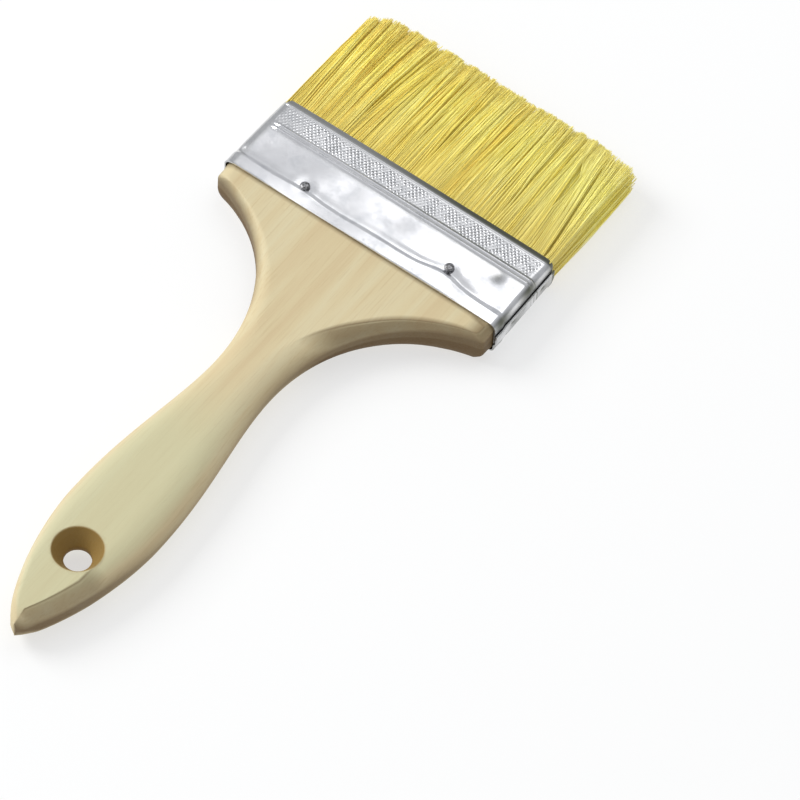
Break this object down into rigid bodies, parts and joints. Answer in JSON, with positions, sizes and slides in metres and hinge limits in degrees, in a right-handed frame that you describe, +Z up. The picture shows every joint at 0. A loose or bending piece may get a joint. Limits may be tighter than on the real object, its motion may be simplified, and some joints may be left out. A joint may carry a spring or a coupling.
{
  "type": "flat paint brush",
  "caption": "Flat wall brush: raw wood beaver-tail handle with a countersunk hang hole, nailed tin ferrule with beads and a lap seam, and natural bristle that flexes and springs back.",
  "frame": {"origin": "under the middle of the brush, on the surface it lies on", "axes": "+X across the width, +Y from the tail of the handle to the bristle tips, +Z up out of the front face"},
  "size_m": [0.1028, 0.245, 0.016],
  "materials": {
    "wood": "raw, sanded poplar",
    "tin_plate": "bright tin-plated sheet",
    "nail_steel": "bright",
    "resin": "set resin",
    "bristle": "bleached natural bristle"
  },
  "bodies": {
    "handle": {"handle": "wood", "ferrule": "tin_plate", "nail_front_left": "nail_steel", "nail_front_right": "nail_steel", "nail_back_left": "nail_steel", "nail_back_right": "nail_steel", "resin_setting": "resin", "spacer_strip": "wood", "bristle_root_front": "bristle", "bristle_root_back": "bristle"},
    "bristle": {"bristle_tuft_front": "bristle", "bristle_tuft_back": "bristle"}
  },
  "joints": [
    {"name": "bristle_flex", "type": "hinge", "parent": "handle", "child": "bristle", "pos_m": [0, 0.0805, 0.00798], "axis": [1, 0, 0], "range_deg": [-35, 35], "stiffness_Nm_per_rad": 0.5}
  ]
}
